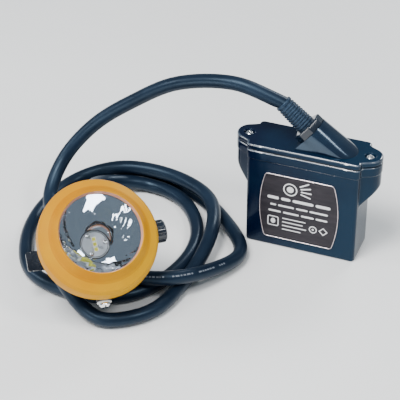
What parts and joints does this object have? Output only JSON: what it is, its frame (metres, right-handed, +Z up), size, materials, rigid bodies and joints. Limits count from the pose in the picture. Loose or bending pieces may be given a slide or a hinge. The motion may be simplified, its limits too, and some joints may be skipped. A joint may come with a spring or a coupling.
{
  "type": "miner's cap lamp",
  "caption": "Miner's cap lamp: lidded belt battery with screw lugs and slanting cable outlet, coiled cable, round headpiece with mirror reflector, rotary switch and cap hook.",
  "frame": {"origin": "on the battery's flat base, midway between its screw lugs and under the line of the lid screws", "axes": "+X along the battery's width away from the headpiece, -Y out of the name plate, +Z up out of the lid"},
  "size_m": [0.2201, 0.173, 0.1095],
  "materials": {
    "case_plastic": "glossy dark navy",
    "head_plastic": "satin near-black",
    "nut_plastic": "glossy black",
    "knob_plastic": "glossy dark navy",
    "bezel_plastic": "satin yellow-orange",
    "cable_rubber": "satin slate navy",
    "black_rubber": "matt black",
    "screw_steel": "bright",
    "shaft_steel": "ground",
    "contact_chrome": "polished",
    "insert_brass": "turned",
    "plate_face": "anodised dark brown-grey",
    "plate_rim": "bright",
    "cell_wrap": "wrapped in film",
    "white_plastic": "matt white",
    "strip_metal": "plain",
    "board_green": "solder mask",
    "board_white": "white-coated",
    "wire_red": "matt",
    "lens_clear": "clear",
    "reflector_mirror": "vacuum-metallised",
    "led_yellow": "phosphor under silicone",
    "sink_aluminium": "machined",
    "switch_brown": "moulded"
  },
  "bodies": {
    "lamp": {"battery_case": "case_plastic", "battery_lid": "case_plastic", "lid_gasket": "black_rubber", "lid_screws": "screw_steel", "thread_inserts": "insert_brass", "belt_loop": "case_plastic", "belt_loop_screws": "screw_steel", "name_plate": "plate_face", "plate_border": "plate_rim", "cells": "cell_wrap", "cell_holders": "white_plastic", "nickel_strips": "strip_metal", "protection_board": "board_green", "lead_wires": "wire_red", "gland_seal": "black_rubber", "gland_nut": "nut_plastic", "strain_relief": "cable_rubber", "cable_tail": "cable_rubber", "cable": "cable_rubber", "head_cable_tail": "cable_rubber", "head_strain_relief": "cable_rubber", "head_gland_nut": "nut_plastic", "head_gland_seal": "black_rubber", "rear_cover": "head_plastic", "rear_cover_screws": "screw_steel", "rear_gasket": "black_rubber", "head_shell": "head_plastic", "bezel_ring": "bezel_plastic", "lens": "lens_clear", "lens_gasket": "black_rubber", "reflector": "reflector_mirror", "led_board": "board_white", "leds": "led_yellow", "led_board_screws": "screw_steel", "heat_sink": "sink_aluminium", "board_standoffs": "insert_brass", "driver_board": "board_green", "switch_contacts": "switch_brown", "shaft_seal": "black_rubber", "contact_bush": "white_plastic", "charge_contact": "contact_chrome", "cap_hook": "head_plastic", "hook_screws": "screw_steel"},
    "switch": {"switch_shaft": "shaft_steel", "switch_knob": "knob_plastic", "knob_screw": "screw_steel"}
  },
  "joints": [
    {"name": "switch_turn", "type": "hinge", "parent": "lamp", "child": "switch", "pos_m": [-0.09905, -0.10402, 0.04098], "axis": [0.766, 0.6428, 0], "range_deg": [-60, 60]}
  ]
}
